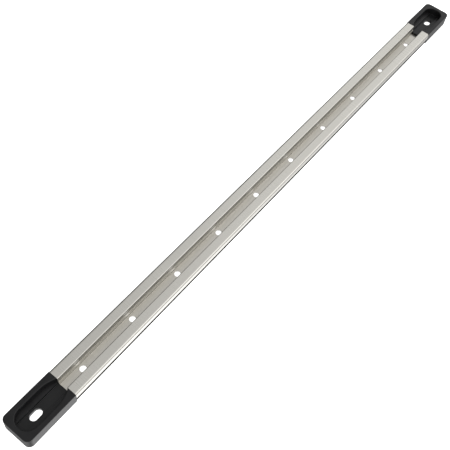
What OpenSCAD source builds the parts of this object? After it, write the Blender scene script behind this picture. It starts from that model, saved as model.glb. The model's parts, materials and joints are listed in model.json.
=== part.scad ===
// Magnetic knife rack for a kitchen wall.
// A roll-formed steel channel with two flat lips and a recessed centre,
// a perforated centre strip, bar magnets hidden under both lips,
// and a moulded cap with a screw slot at each end.
//
// The rack lies on its back: X runs along the rack, Y is up the wall,
// Z points away from the wall and z = 0 is the wall. Sizes are in mm.

/* [Overall size] */

// Length over both end caps
rack_length = 610; // [400:10:900]
// Height up the wall, across both lips
rack_width = 27; // [24.6:0.2:34]
// Depth from the wall to the face of the lips
rack_depth = 12; // [11.6:0.2:16]

/* [Steel channel] */

// Thickness of the channel's sheet
sheet_t = 0.7; // [0.5:0.05:0.8]
// Width of each lip that the knives stick to
lip_width = 8.8; // [8.2:0.1:9.4]
// Outer radius of the four long bends
bend_r = 1.8; // [1.4:0.1:2.2]
// Radius where a lip turns down into the recess
lip_edge_r = 0.8; // [0.75:0.05:1.2]
// Distance from the face down to the end of the inner skirts
skirt_depth = 7; // [5.6:0.1:7.4]
// Gap between the wall and the back of the channel
channel_lift = 1.2; // [0.8:0.1:1.4]

/* [Centre strip] */

// Thickness of the strip's sheet
strip_t = 0.5; // [0.4:0.05:0.8]
// Height of the strip's side walls, from its underside
strip_wall_h = 5.3; // [4:0.1:6]
// Clearance between the strip and each skirt
strip_fit = 0.05; // [0.03:0.01:0.15]

/* [Screw holes in the recess] */

// Distance between neighbouring holes
hole_pitch = 53.3; // [30:0.1:56]
// Diameter of each hole
hole_d = 5.4; // [4:0.1:6.4]
// Least distance from the end of the channel to the first hole's centre
hole_end_gap = 15; // [8:0.5:26]

/* [End caps] */

// Length of a cap beyond the end of the channel
cap_length = 45.4; // [40:0.2:60]
// Radius of the cap's two outer corners, seen from the front
cap_corner_r = 4.5; // [3:0.5:8]
// Material left outside the pocket, above and below it
pocket_side_wall = 4.5; // [3.4:0.1:5.4]
// Material left between the pocket and the end of the cap
pocket_end_wall = 4; // [3:0.1:6]
// Length over which the pocket flares out from the recess
flare_length = 14.4; // [8:0.2:18]
// How much wider than the recess the flare starts, each side
flare_step = 0.6; // [0.2:0.05:0.8]
// How far the pocket's floor stands above the floor of the recess
floor_rise = 2.2; // [0:0.1:2.8]
// Depth from the face down to the pocket's side ledges
ledge_depth = 5.6; // [4:0.1:6.6]
// Wall left around the hollow back of the cap
cap_wall = 1.6; // [1.2:0.1:2]

/* [Cap screw slots] */

// Length of the slot, end to end
slot_length = 10.4; // [8:0.1:13]
// Width of the slot
slot_width = 6.2; // [4.5:0.1:7]
// Distance from the end of the rack to the slot's centre
slot_from_end = 19.2; // [14:0.1:24]

/* [Cap tongues and lug] */

// Length of the tongues that plug into the channel
tongue_length = 14; // [13:0.5:20]
// Clearance around a tongue
tongue_fit = 0.15; // [0.08:0.01:0.25]
// Length of the lug that snaps into the channel's side
lug_length = 8; // [5:0.5:8.5]
// Height of the lug
lug_height = 3.4; // [2.4:0.1:4]
// Distance from the end of the channel to the lug's window
lug_inset = 4; // [2.5:0.5:4.5]
// Clearance around the lug in its window
lug_fit = 0.2; // [0.1:0.05:0.3]

/* [Magnets and keepers] */

// Number of bar magnets under each lip
magnet_count = 10; // [6:1:12]
// Width of a magnet
magnet_width = 5.6; // [4:0.1:5.7]
// Gap between neighbouring magnets
magnet_gap = 0.8; // [0.4:0.1:3]
// Thickness of the keeper strip behind each row of magnets
keeper_t = 1.5; // [1:0.1:2]
// Width of a keeper strip
keeper_width = 6; // [4:0.1:6.1]
// Free length between a tongue and the magnets
magnet_end_gap = 1; // [0.5:0.1:4]

/* [Hidden] */

$fn = 96;
over = 1;

half_w = rack_width / 2;
half_len = rack_length / 2;
channel_length = rack_length - 2 * cap_length;
channel_end = channel_length / 2;

web_z = channel_lift;
strip_z = web_z + sheet_t;
floor_z = strip_z + strip_t;
lip_z = rack_depth - sheet_t;
gap_half = half_w - lip_width;
skirt_z = rack_depth - skirt_depth;
inner_r = bend_r - sheet_t;

hole_count = floor((channel_length - 2 * hole_end_gap) / hole_pitch) + 1;

rail_in = gap_half + sheet_t;
rail_out = half_w - sheet_t;
magnet_y = (rail_in + half_w - bend_r) / 2;
keeper_y = half_w - bend_r - keeper_width / 2;
magnet_z = strip_z + keeper_t;
magnet_height = lip_z - magnet_z;
stack_length = channel_length - 2 * (tongue_length + magnet_end_gap);
magnet_pitch = stack_length / magnet_count;
magnet_length = magnet_pitch - magnet_gap;

ledge_z = rack_depth - ledge_depth;
pocket_half = half_w - pocket_side_wall;
mouth_half = gap_half + flare_step;
flare_rise = pocket_half - mouth_half;
flare_r = (flare_length * flare_length + flare_rise * flare_rise)
    / (2 * flare_rise);
pocket_end_x = cap_length - pocket_end_wall - pocket_half;
slot_x = cap_length - slot_from_end;
pocket_floor_z = floor_z + floor_rise;
core_in = gap_half + 1.5;
core_out = half_w - cap_wall;
core_top = ledge_z - 1.5;

window_z = web_z + 1;
window_x = channel_end - lug_inset - lug_length;

steel_color = [0.74, 0.73, 0.70];
strip_color = [0.70, 0.69, 0.67];
cap_color = [0.16, 0.16, 0.17];
magnet_color = [0.25, 0.25, 0.26];
keeper_color = [0.55, 0.56, 0.58];

MAGNETS_UPPER = [
    for (i = [1 : magnet_count]) str("magnet_upper_", i < 10 ? "0" : "", i)
];
MAGNETS_LOWER = [
    for (i = [1 : magnet_count]) str("magnet_lower_", i < 10 ? "0" : "", i)
];

// Extrudes a profile drawn in Y and Z along X, from x0 to x1.
module along_x(x0, x1) {
    translate([x0, 0, 0])
        rotate([90, 0, 90])
            linear_extrude(height = x1 - x0)
                children();
}

// Rectangle from (x0, y0) to (x1, y1) with all four corners rounded.
module round_rect(x0, y0, x1, y1, r) {
    translate([x0 + r, y0])
        square([x1 - x0 - 2 * r, y1 - y0]);
    translate([x0, y0 + r])
        square([x1 - x0, y1 - y0 - 2 * r]);
    for (x = [x0 + r, x1 - r])
        for (y = [y0 + r, y1 - r])
            translate([x, y])
                circle(r = r);
}

// One skirt: the sheet turned down at the inner edge of a lip.
module skirt_profile() {
    translate([gap_half, skirt_z])
        square([sheet_t, skirt_depth - lip_edge_r]);
    translate([gap_half + lip_edge_r, rack_depth - lip_edge_r])
        difference() {
            circle(r = lip_edge_r);
            circle(r = lip_edge_r - sheet_t);
            translate([-2, -4])
                square([4, 4]);
            translate([0, -2])
                square([4, 4]);
        }
}

module channel_profile() {
    difference() {
        round_rect(-half_w, web_z, half_w, rack_depth, bend_r);
        round_rect(-rail_out, strip_z, rail_out, lip_z, inner_r);
        translate([-gap_half - lip_edge_r, lip_z - over])
            square([2 * (gap_half + lip_edge_r), sheet_t + 2 * over]);
    }
    skirt_profile();
    mirror([1, 0])
        skirt_profile();
}

// Window in the channel's side that takes a cap's lug.
module lug_window() {
    translate([window_x, -half_w - over, window_z])
        cube([lug_length, over + sheet_t + inner_r, lug_height]);
}

// Row of holes along the recess, for one sheet.
module hole_row(z0, z1) {
    first = -(hole_count - 1) * hole_pitch / 2;
    for (i = [0 : hole_count - 1])
        translate([first + i * hole_pitch, 0, z0 - over])
            cylinder(d = hole_d, h = z1 - z0 + 2 * over);
}

module body_channel() {
    color(steel_color)
        difference() {
            along_x(-channel_end, channel_end)
                channel_profile();
            hole_row(web_z, strip_z);
            lug_window();
            rotate([0, 0, 180])
                lug_window();
        }
}

module centre_strip() {
    strip_half = gap_half - strip_fit;
    color(strip_color)
        difference() {
            translate([-channel_end, -strip_half, strip_z])
                cube([channel_length, 2 * strip_half, strip_wall_h]);
            translate([-channel_end - over, -strip_half + strip_t, floor_z])
                cube([
                    channel_length + 2 * over,
                    2 * (strip_half - strip_t),
                    strip_wall_h
                ]);
            hole_row(strip_z, floor_z);
        }
}

// Cap outline from the front: square at the channel, rounded at the end.
module cap_outline(inset) {
    r = cap_corner_r - inset;
    translate([inset, -half_w + inset])
        square([cap_length - cap_corner_r - inset, rack_width - 2 * inset]);
    translate([cap_length - cap_corner_r - over, -half_w + cap_corner_r])
        square([r + over, rack_width - 2 * cap_corner_r]);
    for (side = [-1, 1])
        translate([cap_length - cap_corner_r, side * (half_w - cap_corner_r)])
            circle(r = r);
}

// Pocket outline from the front: flares out of the recess, round at the end.
module pocket_outline() {
    translate([flare_length, -pocket_half])
        square([pocket_end_x - flare_length, 2 * pocket_half]);
    translate([pocket_end_x, 0])
        circle(r = pocket_half);
    intersection() {
        translate([-over, -half_w])
            square([flare_length + 2 * over, rack_width]);
        translate([flare_length, pocket_half - flare_r])
            circle(r = flare_r);
        translate([flare_length, flare_r - pocket_half])
            circle(r = flare_r);
    }
}

module slot_outline() {
    run = slot_length - slot_width;
    translate([slot_x - run / 2, -slot_width / 2])
        square([run, slot_width]);
    for (side = [-1, 1])
        translate([slot_x + side * run / 2, 0])
            circle(d = slot_width);
}

// Hollows moulded into the back of the cap, one behind each ledge.
module back_cores() {
    for (side = [-1, 1])
        translate([
            cap_wall + 1,
            side > 0 ? core_in : -core_out,
            -over
        ])
            cube([
                cap_length - cap_corner_r - cap_wall - 2,
                core_out - core_in,
                core_top + over
            ]);
}

// Tongue that fills the end of one rail of the channel.
module tongue_profile() {
    intersection() {
        round_rect(
            -rail_out + tongue_fit,
            strip_z + tongue_fit,
            rail_out - tongue_fit,
            lip_z - tongue_fit,
            inner_r
        );
        translate([rail_in + tongue_fit, 0])
            square([lip_width, rack_depth]);
    }
}

module cap_lug() {
    z0 = window_z + lug_fit;
    translate([
        -lug_inset - lug_length + lug_fit,
        -half_w + 0.05,
        z0
    ])
        cube([
            lug_length - 2 * lug_fit,
            sheet_t + 1,
            lug_height - 2 * lug_fit
        ]);
}

// One end cap, with its channel end at x = 0.
module cap_body() {
    difference() {
        linear_extrude(height = rack_depth)
            cap_outline(0);
        translate([0, 0, ledge_z])
            linear_extrude(height = rack_depth)
                pocket_outline();
        translate([0, 0, pocket_floor_z])
            linear_extrude(height = rack_depth)
                intersection() {
                    pocket_outline();
                    translate([-over, -gap_half])
                        square([cap_length, 2 * gap_half]);
                }
        translate([0, 0, -over])
            linear_extrude(height = rack_depth)
                slot_outline();
        translate([0, 0, -over])
            linear_extrude(height = channel_lift + over)
                cap_outline(cap_wall);
        back_cores();
    }
    along_x(-tongue_length, 0.5)
        tongue_profile();
    mirror([0, 1, 0])
        along_x(-tongue_length, 0.5)
            tongue_profile();
    cap_lug();
}

module end_cap_right() {
    color(cap_color)
        translate([channel_end, 0, 0])
            cap_body();
}

module end_cap_left() {
    color(cap_color)
        rotate([0, 0, 180])
            translate([channel_end, 0, 0])
                cap_body();
}

// Steel strip behind a row of magnets; side is 1 above, -1 below.
module keeper(side) {
    color(keeper_color)
        translate([
            -stack_length / 2,
            side * keeper_y - keeper_width / 2,
            strip_z
        ])
            cube([stack_length, keeper_width, keeper_t]);
}

// Bar magnet number i, counted from the left end.
module magnet(i, side) {
    color(magnet_color)
        translate([
            -stack_length / 2 + i * magnet_pitch + magnet_gap / 2,
            side * magnet_y - magnet_width / 2,
            magnet_z
        ])
            cube([magnet_length, magnet_width, magnet_height]);
}

body_channel();
centre_strip();
end_cap_left();
end_cap_right();
keeper(1);  // keeper_upper
keeper(-1);  // keeper_lower
for (i = [0 : magnet_count - 1]) {
    magnet(i, 1);
    magnet(i, -1);
}
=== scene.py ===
import json
import math

import bpy
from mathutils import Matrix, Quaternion, Vector


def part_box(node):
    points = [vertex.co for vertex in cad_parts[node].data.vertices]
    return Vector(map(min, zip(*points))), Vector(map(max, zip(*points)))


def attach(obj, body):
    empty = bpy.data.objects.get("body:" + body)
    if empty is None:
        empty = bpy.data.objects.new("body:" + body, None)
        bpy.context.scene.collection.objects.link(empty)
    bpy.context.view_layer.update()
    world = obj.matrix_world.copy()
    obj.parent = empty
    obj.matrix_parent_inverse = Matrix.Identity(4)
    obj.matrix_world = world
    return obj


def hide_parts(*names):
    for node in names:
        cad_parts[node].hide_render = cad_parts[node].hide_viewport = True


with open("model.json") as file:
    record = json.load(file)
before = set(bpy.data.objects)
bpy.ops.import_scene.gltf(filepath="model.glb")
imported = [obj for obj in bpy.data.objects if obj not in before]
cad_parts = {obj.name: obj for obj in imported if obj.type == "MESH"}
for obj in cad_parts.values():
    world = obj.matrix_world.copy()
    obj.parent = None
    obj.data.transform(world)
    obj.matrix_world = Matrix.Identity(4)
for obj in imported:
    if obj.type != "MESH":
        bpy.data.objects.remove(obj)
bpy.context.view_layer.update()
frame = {"nodes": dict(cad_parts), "record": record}
scene = bpy.context.scene
mm = 0.001
tiny = 0.01 * mm         # two places closer than this are the same place
origin = Vector((0, 0, 0))

channelLow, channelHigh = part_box("body_channel")
stripLow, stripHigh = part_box("centre_strip")
capLow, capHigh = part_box("end_cap_right")
mounts = {mount["name"]: mount for mount in frame["record"]["mounts"]}
faceZ = channelHigh.z
halfWidth = channelHigh.y
jointX = channelHigh.x   # where the channel stops and the right cap starts
print("frame loaded:", len(frame["nodes"]), "nodes")


# Hand tools

def clearSelection():
    if bpy.context.object and bpy.context.object.mode == "EDIT":
        bpy.ops.object.mode_set(mode="OBJECT")
    bpy.ops.object.select_all(action="DESELECT")


def takeUp(part):        # only this piece is selected and active
    clearSelection()
    part.select_set(True)
    bpy.context.view_layer.objects.active = part


def openMesh(part):
    takeUp(part)
    bpy.ops.object.mode_set(mode="EDIT")


def near(a, b):
    return abs(a - b) < tiny


def pick(part, kind, test):      # test gets a point's place, an edge's two places or a face's middle
    bpy.ops.mesh.select_mode(type=kind)
    bpy.ops.mesh.select_all(action="DESELECT")
    bpy.ops.object.mode_set(mode="OBJECT")
    points = part.data.vertices
    if kind == "VERT":
        places = [(point, [point.co]) for point in points]
    elif kind == "EDGE":
        places = [(edge, [points[index].co for index in edge.vertices]) for edge in part.data.edges]
    else:
        places = [(face, [face.center]) for face in part.data.polygons]
    for element, asked in places:
        element.select = test(*asked)
    bpy.ops.object.mode_set(mode="EDIT")


def both(test):          # for an edge whose two ends pass the test
    return lambda a, b: test(a) and test(b)


def newBox(name, low, high):   # a box between two corners, left open in edit mode
    clearSelection()
    bpy.ops.mesh.primitive_cube_add(size=1, location=origin, enter_editmode=True)
    box = bpy.context.object
    box.name = name
    box.data.name = name
    bpy.ops.transform.resize(value=Vector(high) - Vector(low), center_override=origin)
    bpy.ops.transform.translate(value=(Vector(high) + Vector(low)) / 2)
    return box


def roundEdges(part, radius, steps, test):
    pick(part, "EDGE", test)
    bpy.ops.mesh.bevel(offset=radius, segments=steps, profile=0.5, affect="EDGES")


def mergeDoubles():
    bpy.ops.mesh.select_all(action="SELECT")
    bpy.ops.mesh.remove_doubles(threshold=tiny / 10)


def sliceMesh(place, direction):     # a new ring of edges where this plane passes
    bpy.ops.mesh.select_all(action="SELECT")
    bpy.ops.mesh.bisect(plane_co=place, plane_no=direction, threshold=tiny / 10)


def upright(a, b):       # an edge that stands along Z
    return near(a.x, b.x) and near(a.y, b.y)


def acrossY(a, b):       # an edge that runs along Y
    return near(a.x, b.x) and near(a.z, b.z)


def applyModifier(part, kind, **settings):
    takeUp(part)
    modifier = part.modifiers.new(kind.lower(), kind)
    for key, value in settings.items():
        setattr(modifier, key, value)
    bpy.ops.object.modifier_apply(modifier=modifier.name)


def cutWith(part, cutter, way="DIFFERENCE"):
    takeUp(part)
    applyModifier(part, "BOOLEAN", operation=way, solver="EXACT", object=cutter)
    bpy.data.objects.remove(cutter)


shading = {
    "sharpFrom": 32,         # degrees between two faces
    "faceWeight": 80,
    "deburrFrom": 50,        # a cut edge is at least this sharp, in degrees
    "deburrSteps": 2,
}


def finishShading(part):
    takeUp(part)
    bpy.ops.object.shade_smooth_by_angle(angle=math.radians(shading["sharpFrom"]))
    applyModifier(part, "WEIGHTED_NORMAL", keep_sharp=True, weight=shading["faceWeight"])


def deburr(part, width):     # takes the sharpness off the sheet's cut edges
    applyModifier(part, "BEVEL", width=width, segments=shading["deburrSteps"], limit_method="ANGLE",
                  angle_limit=math.radians(shading["deburrFrom"]), use_clamp_overlap=False)


# Folded sheet steel

def foldSheet(name, halfLength, halfWide, startZ, folds):
    # a flat blank on the underside, then the long edges pulled up and over, one fold after another
    clearSelection()
    bpy.ops.mesh.primitive_plane_add(size=2, location=origin, enter_editmode=True)
    sheet = bpy.context.object
    sheet.name = name
    sheet.data.name = name
    bpy.ops.transform.resize(value=(halfLength, halfWide, 1), center_override=origin)
    bpy.ops.transform.translate(value=(0, 0, startZ))
    for side in (1, -1):
        edgeY = side * halfWide
        pick(sheet, "EDGE", both(lambda point: near(point.y, edgeY) and near(point.z, startZ)))
        for outY, upZ in folds:
            move = {"value": (0, side * outY, upZ)}
            bpy.ops.mesh.extrude_region_move(TRANSFORM_OT_translate=move)
    return sheet


def roundFold(sheet, foldY, foldZ, radius, steps):
    def onFold(point):
        return near(abs(point.y), foldY) and near(point.z, foldZ)
    roundEdges(sheet, radius, steps, both(onFold))


def thickenSheet(sheet, thickness):
    mergeDoubles()
    bpy.ops.mesh.normals_make_consistent(inside=False)
    bpy.ops.object.mode_set(mode="OBJECT")
    underside = min(sheet.data.polygons, key=lambda face: face.center.z)
    if underside.normal.z > 0:   # the drawn surface is the outer one, so the underside looks down
        openMesh(sheet)
        bpy.ops.mesh.select_all(action="SELECT")
        bpy.ops.mesh.flip_normals()
    applyModifier(sheet, "SOLIDIFY", thickness=thickness, offset=-1, use_even_offset=True)


holeRow = {
    "sides": 48,
    "overshoot": 1 * mm,
}


def punchHoles(sheet, lowZ, highZ):
    spacings = sorted(mount["dims"]["spacing_x_mm"] * mm    # the nearest pair's is also the pitch
                      for name, mount in mounts.items() if name.startswith("recess_holes"))
    radius = mounts["recess_holes_1"]["dims"]["hole_r_mm"] * mm
    clearSelection()
    bpy.ops.mesh.primitive_cylinder_add(vertices=holeRow["sides"], radius=radius,
                                        depth=highZ - lowZ + 2 * holeRow["overshoot"],
                                        location=origin, enter_editmode=True)
    punch = bpy.context.object
    bpy.ops.transform.translate(value=(-spacings[-1] / 2, 0, (lowZ + highZ) / 2))
    applyModifier(punch, "ARRAY", count=2 * len(spacings), use_relative_offset=False,
                  use_constant_offset=True, constant_offset_displace=(spacings[0], 0, 0))
    cutWith(sheet, punch)


channelShape = {
    "sheet": 0.7 * mm,
    "lip": 8.8 * mm,         # flat face on each side of the recess
    "bendRadius": 1.8 * mm,  # the four long outer bends
    "lipRadius": 0.8 * mm,   # where a lip turns down into the recess
    "skirt": 7 * mm,         # how far the turned-down edge reaches below the face
    "bendSteps": 10,
    "deburr": 0.09 * mm,     # cut edges after tumbling
    "shadeBandTop": 6.2 * mm, # below this height the sides get a dark band of painted shade
}

lugShape = {
    "inset": 4 * mm,         # from the channel's end to the window
    "length": 8 * mm,
    "height": 3.4 * mm,
    "rise": 1 * mm,          # the window's lower edge above the channel's underside
    "clearance": 0.2 * mm,
    "corner": 0.5 * mm,
    "reach": 1.7 * mm,       # how far in from the side's face
    "belowFlush": 0.4 * mm,  # the lug's face stays this far inside the side's face
    "windowSteps": 4,
    "lugSteps": 3,
    "overshoot": 1 * mm,
}


def punchLugWindows(channel):
    shape = lugShape
    low = Vector((jointX - shape["inset"] - shape["length"], -halfWidth - shape["overshoot"],
                  channelLow.z + shape["rise"]))
    high = low + Vector((shape["length"], shape["overshoot"] + shape["reach"], shape["height"]))
    window = newBox("window", low, high)
    roundEdges(window, shape["corner"], shape["windowSteps"], acrossY)
    bpy.ops.mesh.select_all(action="SELECT")
    bpy.ops.mesh.duplicate()
    bpy.ops.transform.rotate(value=math.pi, orient_axis="Z", center_override=origin)
    cutWith(channel, window)


def makeChannel():
    shape = channelShape
    folds = [(0, faceZ - channelLow.z), (-shape["lip"], 0), (0, -shape["skirt"])]
    channel = foldSheet("steel_channel", jointX, halfWidth, channelLow.z, folds)
    roundFold(channel, halfWidth, channelLow.z, shape["bendRadius"], shape["bendSteps"])
    roundFold(channel, halfWidth, faceZ, shape["bendRadius"], shape["bendSteps"])
    roundFold(channel, halfWidth - shape["lip"], faceZ, shape["lipRadius"], shape["bendSteps"])
    # the ring where the band of painted shade starts
    sliceMesh((0, 0, shape["shadeBandTop"]), (0, 0, 1))
    thickenSheet(channel, shape["sheet"])
    punchHoles(channel, channelLow.z, channelLow.z + shape["sheet"])
    punchLugWindows(channel)
    deburr(channel, shape["deburr"])
    finishShading(channel)
    return channel


stripShape = {
    "sheet": 0.5 * mm,
    "bendRadius": 0.8 * mm,
    "bendSteps": 6,
    "deburr": 0.08 * mm,
}


def makeStrip():
    shape = stripShape
    strip = foldSheet("centre_channel_strip", stripHigh.x, stripHigh.y, stripLow.z,
                      [(0, stripHigh.z - stripLow.z)])
    roundFold(strip, stripHigh.y, stripLow.z, shape["bendRadius"], shape["bendSteps"])
    thickenSheet(strip, shape["sheet"])
    punchHoles(strip, stripLow.z, stripLow.z + shape["sheet"])
    deburr(strip, shape["deburr"])
    finishShading(strip)
    return strip


# Moulded end caps

capShape = {
    "corner": 4.5 * mm,          # the two outer corners, seen from the front
    "cornerSteps": 14,
    "topEdge": 0.4 * mm,
    "backEdge": 0.25 * mm,
    "pocketSideWall": 4.5 * mm,
    "pocketEndWall": 4 * mm,
    "flareLength": 14.4 * mm,    # the pocket opens out of the recess over this length
    "flareStep": 0.6 * mm,       # the flare starts this much wider than the recess
    "flareRings": 12,
    "ledgeDepth": 5.6 * mm,      # the shelves on both sides of the pocket, below the face
    "floorRise": 2.2 * mm,       # the pocket's floor stands this much above the floor of the recess
    "rim": 0.8 * mm,             # rounding round the pocket's mouth
    "ledgeEdge": 0.5 * mm,       # rounding where a shelf drops to the floor
    "innerFillet": 0.35 * mm,    # round the pocket's floor
    "slotEdge": 0.3 * mm,
    "backRecess": 1.2 * mm,      # hollow of the cap's back inside its rim
    "wall": 1.6 * mm,
    "coreInset": 1 * mm,
    "coreDraft": 0.15 * mm,
    "coreRoof": 1.5 * mm,        # plastic left above the hollows in the back
    "coreCorner": 0.8 * mm,
    "tongueFit": 0.15 * mm,
    "tongueRoot": 0.5 * mm,
    "tongueLead": 0.5 * mm,
    "overshoot": 1 * mm,
    "edgeSteps": 3,              # the small roundings
    "rimSteps": 5,
    "pocketSteps": 28,
    "slotSteps": 18,
    "backSteps": 10,
    "coreSteps": 4,
    "tongueSteps": 5,
}
floorZ = stripLow.z + stripShape["sheet"] + capShape["floorRise"]
gapHalf = halfWidth - channelShape["lip"]
ledgeZ = faceZ - capShape["ledgeDepth"]
pocketHalf = halfWidth - capShape["pocketSideWall"]


def capBlank():
    shape = capShape
    cap = newBox("moulded_cap_right", (jointX, -halfWidth, capLow.z), capHigh)
    outerX = capHigh.x
    roundEdges(cap, shape["corner"], shape["cornerSteps"],
               lambda a, b: upright(a, b) and near(a.x, outerX))
    for z, radius in ((faceZ, shape["topEdge"]), (capLow.z, shape["backEdge"])):
        roundEdges(cap, radius, shape["edgeSteps"],
                   lambda a, b: near(a.z, z) and near(b.z, z)
                   and not (near(a.x, jointX) and near(b.x, jointX)))
    return cap


def pocketCutter():
    shape = capShape
    startX = jointX - shape["overshoot"]
    endX = capHigh.x - shape["pocketEndWall"]
    cutter = newBox("pocket", (startX, -pocketHalf, ledgeZ),
                    (endX, pocketHalf, faceZ + shape["overshoot"]))
    roundEdges(cutter, pocketHalf, shape["pocketSteps"],
               lambda a, b: upright(a, b) and near(a.x, endX))
    mergeDoubles()
    flareRise = pocketHalf - gapHalf - shape["flareStep"]
    flareRadius = (shape["flareLength"] ** 2 + flareRise ** 2) / (2 * flareRise)
    ringPlaces = [jointX + shape["flareLength"] * ring / shape["flareRings"]
                  for ring in range(shape["flareRings"] + 1)]
    for ringX in ringPlaces:
        sliceMesh((ringX, 0, 0), (1, 0, 0))
    for ringX in [startX] + ringPlaces[:-1]:
        toGo = shape["flareLength"] - max(0, ringX - jointX)
        half = pocketHalf - flareRadius + math.sqrt(flareRadius ** 2 - toGo ** 2)
        pick(cutter, "VERT", lambda point: near(point.x, ringX))
        bpy.ops.transform.resize(value=(1, half / pocketHalf, 1), center_override=origin)
    for side in (1, -1):
        sliceMesh((0, side * gapHalf, 0), (0, 1, 0))
    pick(cutter, "FACE", lambda centre: near(centre.z, ledgeZ) and abs(centre.y) < gapHalf)
    bpy.ops.mesh.extrude_region_move(TRANSFORM_OT_translate={"value": (0, 0, floorZ - ledgeZ)})
    bpy.ops.mesh.select_all(action="SELECT")
    bpy.ops.mesh.dissolve_limited(angle_limit=math.radians(1))
    roundEdges(cutter, shape["innerFillet"], shape["edgeSteps"],
               lambda a, b: near(a.z, floorZ) and near(b.z, floorZ)
               and not (near(a.x, startX) and near(b.x, startX)))
    return cutter


def screwSlotCutter():
    dims = mounts["screw_slots"]["dims"]
    middle = dims["spacing_x_mm"] * mm / 2
    halfLong = dims["slot_length_mm"] * mm / 2
    radius = dims["hole_r_mm"] * mm
    cutter = newBox("slot", (middle - halfLong, -radius, -capShape["overshoot"]),
                    (middle + halfLong, radius, ledgeZ))
    roundEdges(cutter, radius, capShape["slotSteps"], upright)
    mergeDoubles()
    return cutter


def backRecessCutter():
    shape = capShape
    outerX = capHigh.x - shape["wall"]
    cutter = newBox("back", (jointX + shape["wall"], -halfWidth + shape["wall"], -shape["overshoot"]),
                    (outerX, halfWidth - shape["wall"], shape["backRecess"]))
    roundEdges(cutter, shape["corner"] - shape["wall"], shape["backSteps"],
               lambda a, b: upright(a, b) and near(a.x, outerX))
    return cutter


def coreCutter(side):
    shape = capShape
    innerY = side * (gapHalf + shape["coreRoof"])
    outerY = side * (halfWidth - shape["wall"] - shape["coreDraft"])
    cutter = newBox("core", (jointX + shape["wall"] + shape["coreInset"], min(innerY, outerY),
                             -shape["overshoot"]),
                    (capHigh.x - shape["corner"] - shape["coreInset"], max(innerY, outerY),
                     ledgeZ - shape["coreRoof"]))
    roundEdges(cutter, shape["coreCorner"], shape["coreSteps"], upright)
    return cutter


def capTongue(side):
    shape = capShape
    sheet = channelShape["sheet"]
    fit = shape["tongueFit"]
    innerY = side * (gapHalf + sheet + fit)
    outerY = side * (halfWidth - sheet - fit)
    tongue = newBox("tongue", (capLow.x, min(innerY, outerY), stripLow.z + fit),
                    (jointX + shape["tongueRoot"], max(innerY, outerY), faceZ - sheet - fit))
    roundEdges(tongue, channelShape["bendRadius"] - sheet, shape["tongueSteps"],
               lambda a, b: near(a.y, outerY) and near(b.y, outerY) and near(a.z, b.z))
    chamferSteps = 1
    roundEdges(tongue, shape["tongueLead"], chamferSteps, both(lambda point: near(point.x, capLow.x)))
    return tongue


def capLug():
    shape = lugShape
    gap = shape["clearance"]
    low = Vector((jointX - shape["inset"] - shape["length"] + gap,
                  -halfWidth + shape["belowFlush"], channelLow.z + shape["rise"] + gap))
    high = low + Vector((shape["length"] - 2 * gap, shape["reach"], shape["height"] - 2 * gap))
    lug = newBox("lug", low, high)
    roundEdges(lug, shape["corner"] - gap, shape["lugSteps"], acrossY)
    return lug


def onSlotMouth(point):
    dims = mounts["screw_slots"]["dims"]
    inX = abs(point.x - dims["spacing_x_mm"] * mm / 2) < dims["slot_length_mm"] * mm / 2 + tiny
    return near(point.z, floorZ) and inX and abs(point.y) < dims["hole_r_mm"] * mm + tiny


def onPocketMouth(point):
    inX = jointX - tiny < point.x < capHigh.x - capShape["pocketEndWall"] + tiny
    return near(point.z, faceZ) and inX and abs(point.y) < pocketHalf + tiny


def onLedgeEdge(point):
    return near(point.z, ledgeZ) and near(abs(point.y), gapHalf)


def onBulge(point):      # the mouth's rounding swells past the joint, so these points are pressed flat
    return jointX - capShape["rim"] < point.x < jointX - tiny


def makeRightCap():
    shape = capShape
    cap = capBlank()
    for side in (1, -1):
        cutWith(cap, capTongue(side), "UNION")
    cutWith(cap, capLug(), "UNION")
    cutWith(cap, screwSlotCutter())
    cutWith(cap, backRecessCutter())
    for side in (1, -1):
        cutWith(cap, coreCutter(side))
    cutWith(cap, pocketCutter())
    openMesh(cap)
    roundEdges(cap, shape["rim"], shape["rimSteps"], both(onPocketMouth))
    pick(cap, "VERT", onBulge)
    bpy.ops.transform.resize(value=(0, 1, 1), center_override=(jointX, 0, 0))
    roundEdges(cap, shape["ledgeEdge"], shape["edgeSteps"], both(onLedgeEdge))
    roundEdges(cap, shape["slotEdge"], shape["edgeSteps"], both(onSlotMouth))
    mergeDoubles()
    bpy.ops.object.mode_set(mode="OBJECT")
    finishShading(cap)
    return cap


def makeLeftCap(rightCap):   # the same moulding, turned end for end
    takeUp(rightCap)
    bpy.ops.object.duplicate()
    cap = bpy.context.object
    cap.name = "moulded_cap_left"
    cap.data.name = "moulded_cap_left"
    bpy.ops.object.mode_set(mode="EDIT")
    bpy.ops.mesh.select_all(action="SELECT")
    bpy.ops.transform.rotate(value=math.pi, orient_axis="Z", center_override=origin)
    bpy.ops.object.mode_set(mode="OBJECT")
    return cap


channelPiece = makeChannel()
print("channel folded, punched and deburred")
stripPiece = makeStrip()
print("centre strip folded and punched")
rightCap = makeRightCap()
leftCap = makeLeftCap(rightCap)
print("both end caps moulded")


# Materials

def hexColour(code):         # sRGB hex to the linear values that the shader works in
    shares = [int(code[start:start + 2], 16) / 255 for start in (1, 3, 5)]
    linear = [share / 12.92 if share <= 0.04045 else ((share + 0.055) / 1.055) ** 2.4 for share in shares]
    return (*linear, 1)


def addNode(tree, kind, settings=None, inputs=None):     # an input that is a socket is linked
    node = tree.nodes.new(kind)
    for key, value in (settings or {}).items():
        setattr(node, key, value)
    for key, value in (inputs or {}).items():
        if isinstance(value, bpy.types.NodeSocket):
            tree.links.new(value, node.inputs[key])
        else:
            node.inputs[key].default_value = value
    return node


def newMaterial(name):
    material = bpy.data.materials.new(name)
    material.use_nodes = True
    material.node_tree.nodes.clear()
    return material, material.node_tree


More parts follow.
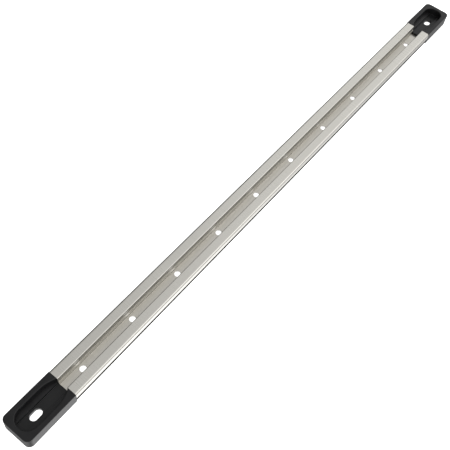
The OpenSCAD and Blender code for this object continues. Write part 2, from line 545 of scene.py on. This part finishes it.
smooth = {"interpolation_type": "SMOOTHSTEP"}
blend = {"data_type": "RGBA"}
colourA, colourB, colourOut = 6, 7, 2    # a colour Mix node's sockets, which share names with others


def between(span, ends):     # inputs of a node that maps one range to another
    return {"From Min": span[0], "From Max": span[1], "To Min": ends[0], "To Max": ends[1]}


def stretchedNoise(tree, grain, detail):     # grains are about this long along X, Y and Z, in metres
    place = addNode(tree, "ShaderNodeTexCoord")
    mapping = {"Scale": [1 / length for length in grain], "Vector": place.outputs["Object"]}
    scaled = addNode(tree, "ShaderNodeMapping", inputs=mapping)
    noise = {"Scale": 1, "Detail": detail, "Roughness": 0.6, "Vector": scaled.outputs["Vector"]}
    return addNode(tree, "ShaderNodeTexNoise", inputs=noise).outputs["Fac"]


noiseSpan = (0.3, 0.7)       # nearly all of a noise lies in here, so it is spread over the full range
cloudSpan = (0.35, 0.65)


def makeSurface(name, look):
    # one noise drives roughness and relief, and also the colour unless a slower flow does
    material, tree = newMaterial(name)
    grain = stretchedNoise(tree, look["grain"], look["detail"])
    tone = stretchedNoise(tree, look["flow"], look["flowDetail"]) if "flow" in look else grain
    share = addNode(tree, "ShaderNodeMapRange", smooth, {"Value": tone, **between(noiseSpan, (0, 1))})
    dark, light = (hexColour(code) for code in look["colours"])
    colour = addNode(tree, "ShaderNodeMix", blend,
                     {0: share.outputs["Result"], colourA: dark, colourB: light})
    rough = addNode(tree, "ShaderNodeMapRange", smooth,
                    {"Value": grain, **between(noiseSpan, look["roughness"])}).outputs["Result"]
    if "cloud" in look:
        cloud = stretchedNoise(tree, look["cloud"], look["cloudDetail"])
        patches = addNode(tree, "ShaderNodeMapRange", smooth,
                          {"Value": cloud, **between(cloudSpan, look["cloudRoughness"])})
        rough = addNode(tree, "ShaderNodeMath", {"operation": "ADD"},
                        {0: rough, 1: patches.outputs["Result"]}).outputs[0]
    strength, height = look["relief"]
    bump = addNode(tree, "ShaderNodeBump",
                   inputs={"Strength": strength, "Distance": height, "Height": grain})
    shader = addNode(tree, "ShaderNodeBsdfPrincipled", inputs={
        **look["shader"], "Base Color": colour.outputs[colourOut], "Roughness": rough,
        "Normal": bump.outputs["Normal"]})
    addNode(tree, "ShaderNodeOutputMaterial", inputs={"Surface": shader.outputs["BSDF"]})
    return material


# 430 stainless sheet, belt-brushed across its length: soft warm grey with fine marks over the lips
crossBrushed = {
    "grain": (0.8 * mm, 60 * mm, 60 * mm),   # real marks are 0.3 to 0.6 mm apart, drawn coarser to show
    "detail": 3,
    "colours": ("#CAC8C1", "#CFCDC7"),
    "roughness": (0.26, 0.31),
    "cloud": (45 * mm, 45 * mm, 45 * mm),    # where the belt pressed less
    "cloudDetail": 1,
    "cloudRoughness": (0, 0.02),
    "relief": (0.1, 0.002 * mm),             # bump strength and height
    "shader": {"Metallic": 1},
}

# the same sheet where no belt reached it: a rougher mill finish, with its grey painted darker as shade
# inside the recess
millAndShadeInside = {
    "grain": (90 * mm, 0.6 * mm, 0.6 * mm),
    "detail": 3,
    "colours": ("#B0AEA7", "#BDBBB4"),
    "roughness": (0.44, 0.54),
    "relief": (0.25, 0.006 * mm),
    "shader": {"Metallic": 1},
}

# painted shade: the lower sides and the underside in a near-black grey, with a grey edge reflection so
# that it stays dark at a flat angle too
paintedShadeUnderside = {
    **millAndShadeInside,
    "colours": ("#3E3C3A", "#4A4845"),
    "shader": {"Metallic": 1, "Specular Tint": hexColour("#808080")},
}

# cold-rolled strip with a mill finish: smooth satin with faint lines along its length
rolledStrip = {
    "grain": (120 * mm, 0.5 * mm, 0.5 * mm),
    "detail": 3,
    "colours": ("#C3C0B8", "#CECBC4"),
    "roughness": (0.34, 0.42),
    "relief": (0.25, 0.006 * mm),
    "shader": {"Metallic": 1},
}

# black ABS moulded in a fine spark-eroded tool: even matt charcoal with a low soft sheen
mouldedAbs = {
    "grain": (0.45 * mm, 0.45 * mm, 0.45 * mm),  # a real grain is about 0.1 mm, drawn coarser to show
    "detail": 4,
    "flow": (12 * mm, 12 * mm, 12 * mm),
    "flowDetail": 2,
    "colours": ("#131314", "#1A1A1B"),
    "roughness": (0.34, 0.44),
    "relief": (0.3, 0.03 * mm),
    "shader": {"IOR": 1.5, "Specular IOR Level": 0.3},
}

# mild steel flat bar, bright drawn: cooler and darker than the stainless, slightly blotchy
keeperSteel = {
    "grain": (18 * mm, 3 * mm, 3 * mm),
    "detail": 3,
    "colours": ("#7E8084", "#9A9DA1"),
    "roughness": (0.3, 0.45),
    "relief": (0.2, 0.02 * mm),
    "shader": {"Metallic": 1},
}

# pressed and sintered hard ferrite: dull dark grey ceramic with a dusty grain
sinteredFerrite = {
    "grain": (0.3 * mm, 0.3 * mm, 0.3 * mm),
    "detail": 4,
    "colours": ("#2B2B2E", "#3C3C40"),
    "roughness": (0.6, 0.8),
    "relief": (0.4, 0.03 * mm),
    "shader": {"IOR": 1.6},
}


def dress(part, materials, choose=None):     # choose says which of the materials a face gets
    part.data.materials.clear()
    for material in materials:
        part.data.materials.append(material)
    for face in part.data.polygons if choose else []:
        face.material_index = choose(face.center, face.normal)


facing = {
    "turned": 0.3,           # how much of a face's normal has to point a way for it to count
    "slightly": 0.1,
    "squarely": 0.7,
}


def pickFinishAndShade(centre, normal):   # 0 brushed, 1 mill finish painted darker as shade inside, 2 painted shade low on the sides and underneath
    shape = channelShape
    side = 1 if centre.y > 0 else -1
    outY = side * centre.y
    onLip = centre.z > faceZ - shape["bendRadius"] and normal.z > facing["turned"]
    onSide = outY > halfWidth - shape["sheet"] / 2 and side * normal.y > facing["turned"]
    onLowBend = outY > halfWidth - shape["bendRadius"] and normal.z < -facing["slightly"]
    below = centre.z < shape["shadeBandTop"]
    # faces low on the sides, on the low bend and underneath get the painted shade
    if below and (onSide or onLowBend or normal.z < -facing["squarely"]):
        return 2
    return 0 if onLip or onSide else 1


plastic = makeSurface("moulded_black_abs", mouldedAbs)
# the second carries painted shade inside the recess, the third a dark band of painted shade low on the
# sides and underneath
channelLooksAndShade = [
    makeSurface("cross_brushed_stainless_sheet", crossBrushed),
    makeSurface("mill_finish_and_painted_shade_inside", millAndShadeInside),
    makeSurface("painted_shade_stainless_underside", paintedShadeUnderside),
]
dress(channelPiece, channelLooksAndShade, pickFinishAndShade)
dress(stripPiece, [makeSurface("cold_rolled_mill_finish_strip", rolledStrip)])
dress(rightCap, [plastic])
dress(leftCap, [plastic])
newPieces = [
    (channelPiece, "body_channel", "satin_steel"),
    (stripPiece, "centre_strip", "strip_steel"),
    (rightCap, "end_cap_right", "black_plastic"),
    (leftCap, "end_cap_left", "black_plastic"),
]
for piece, node, slot in newPieces:
    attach(piece, "root")
    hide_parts(node)

insideFinishes = {
    "keeper": makeSurface("bright_drawn_mild_steel", keeperSteel),
    "magnet": makeSurface("sintered_hard_ferrite", sinteredFerrite),
}
for name, node in frame["nodes"].items():
    for start, material in insideFinishes.items():
        if name.startswith(start):
            dress(node, [material])
print("materials assigned")


# Studio

studio = {
    "floorSize": 8,
    "floorDrop": 0.2 * mm,
    "floorColour": "#F3F3F1",
    "floorRoughness": 0.8,
    "floorGlow": 1.0,        # a light table, so that the floor shows no shadow
    "softboxPower": 1.6,
    "softboxSize": (1.6, 0.8),
    "softboxPlace": (0.55, -0.75, 1.15),
}


def makeFloor():
    clearSelection()
    bpy.ops.mesh.primitive_plane_add(size=studio["floorSize"], location=(0, 0, -studio["floorDrop"]))
    floor = bpy.context.object
    floor.name = "studio_floor"
    material, tree = newMaterial("pale_studio_floor")
    shader = addNode(tree, "ShaderNodeBsdfPrincipled", inputs={
        "Base Color": hexColour(studio["floorColour"]), "Roughness": studio["floorRoughness"],
        "Emission Color": hexColour("#FFFFFF"), "Emission Strength": studio["floorGlow"]})
    clear = addNode(tree, "ShaderNodeBsdfTransparent")
    side = addNode(tree, "ShaderNodeNewGeometry")
    seen = addNode(tree, "ShaderNodeMixShader", inputs={  # clear from below, so that the back can be seen
        0: side.outputs["Backfacing"], 1: shader.outputs["BSDF"], 2: clear.outputs["BSDF"]})
    addNode(tree, "ShaderNodeOutputMaterial", inputs={"Surface": seen.outputs["Shader"]})
    dress(floor, [material])
    floor.visible_glossy = False


roomSlopes = {               # the axis, the span of directions along it, and the value at each end
    "ceiling": ("X", (0.15, 0.8), (0.78, 1.05)),
    "fromLeft": ("X", (-0.2, 0.15), (0.2, 1)),
    "toRight": ("X", (0.3, 0.8), (1.8, 0.72)),
    "nearFloor": ("Z", (-0.35, -0.1), (0, 1)),
    "upperSide": ("Y", (-0.12, 0.12), (0, 1)),
    "leftOver": ("X", (-0.4, -0.2), (0, 1)),
    "overHorizon": ("Z", (0.0, 0.4), (0, 1)),
    "window": ("Y", (-0.32, -0.12), (0.55, 0)),
    "windowSill": ("Z", (0.3, 0.55), (0, 1)),
    "behind": ("Y", (0.38, 0.52), (1, 0.33)),
}
times = ("ShaderNodeMath", {"operation": "MULTIPLY"})
plus = ("ShaderNodeMath", {"operation": "ADD"})
fade = ("ShaderNodeMix", {"data_type": "FLOAT"})     # by input 0, from input 2 to input 3
roomSteps = [                # each step names its result, which later ones take up
    ("low", times, {0: "fromLeft", 1: "toRight"}),
    ("low", fade, {0: "nearFloor", 2: "low", 3: 0.35}),      # a dull strip along the lower wall's top
    ("low", fade, {0: "upperSide", 2: "low", 3: 0.27}),      # a dark wall on the upper side
    ("low", fade, {0: "leftOver", 2: 1.3, 3: "low"}),        # a bright corner past the left end
    ("walls", fade, {0: "overHorizon", 2: "low", 3: "ceiling"}),
    ("window", times, {0: "window", 1: "windowSill"}),
    ("glow", plus, {0: "walls", 1: "window"}),
    ("glow", times, {0: "glow", 1: "behind"}),
    ("glow", fade, {0: "seenByCamera", 2: "glow", 3: 1.0}),  # plain white to look at
]


def makeRoomLight():
    # a pale room that is brighter along the lower side and darker behind the upper side
    room = bpy.data.worlds.new("studio_room")
    scene.world = room
    room.use_nodes = True
    tree = room.node_tree
    tree.nodes.clear()
    place = addNode(tree, "ShaderNodeTexCoord")
    split = addNode(tree, "ShaderNodeSeparateXYZ", inputs={"Vector": place.outputs["Generated"]})
    values = {"seenByCamera": addNode(tree, "ShaderNodeLightPath").outputs["Is Camera Ray"]}
    for name, (axis, span, ends) in roomSlopes.items():
        slope = {"Value": split.outputs[axis], **between(span, ends)}
        values[name] = addNode(tree, "ShaderNodeMapRange", smooth, slope).outputs["Result"]
    for name, (kind, settings), inputs in roomSteps:
        sources = {key: values.get(value, value) for key, value in inputs.items()}
        values[name] = addNode(tree, kind, settings, sources).outputs[0]
    light = addNode(tree, "ShaderNodeBackground",
                    inputs={"Color": hexColour("#FFFFFF"), "Strength": values["glow"]})
    addNode(tree, "ShaderNodeOutputWorld", inputs={"Surface": light.outputs["Background"]})


def makeSoftbox():
    light = bpy.data.lights.new("softbox", "AREA")
    light.shape = "RECTANGLE"
    light.size, light.size_y = studio["softboxSize"]
    light.energy = studio["softboxPower"]
    lamp = bpy.data.objects.new("softbox", light)
    scene.collection.objects.link(lamp)
    lamp.location = studio["softboxPlace"]
    lamp.rotation_mode = "QUATERNION"
    lamp.rotation_quaternion = (-lamp.location).to_track_quat("-Z", "Y")


camera = {
    "lens": 57.64,
    "heading": 60.38,        # degrees from +Y towards +X
    "tilt": 55.53,           # degrees below the horizon
    "roll": 10.36,
    "aim": (-76.21 * mm, -2.5 * mm, 12 * mm),
    "distance": 597.8 * mm,
    "clip": (0.01, 100),
}


def makeCamera():
    heading, tilt, roll = (math.radians(camera[key]) for key in ("heading", "tilt", "roll"))
    forward = Vector((math.sin(heading) * math.cos(tilt), math.cos(heading) * math.cos(tilt),
                      -math.sin(tilt)))
    eye = bpy.data.cameras.new("camera")
    eye.lens = camera["lens"]
    eye.clip_start, eye.clip_end = camera["clip"]
    stand = bpy.data.objects.new("camera", eye)
    scene.collection.objects.link(stand)
    stand.location = Vector(camera["aim"]) - forward * camera["distance"]
    stand.rotation_mode = "QUATERNION"
    stand.rotation_quaternion = forward.to_track_quat("-Z", "Y") @ Quaternion((0, 0, 1), roll)
    scene.camera = stand


makeFloor()
makeRoomLight()
makeSoftbox()
makeCamera()
scene.view_settings.view_transform = "Standard"
clearSelection()
print("studio ready")
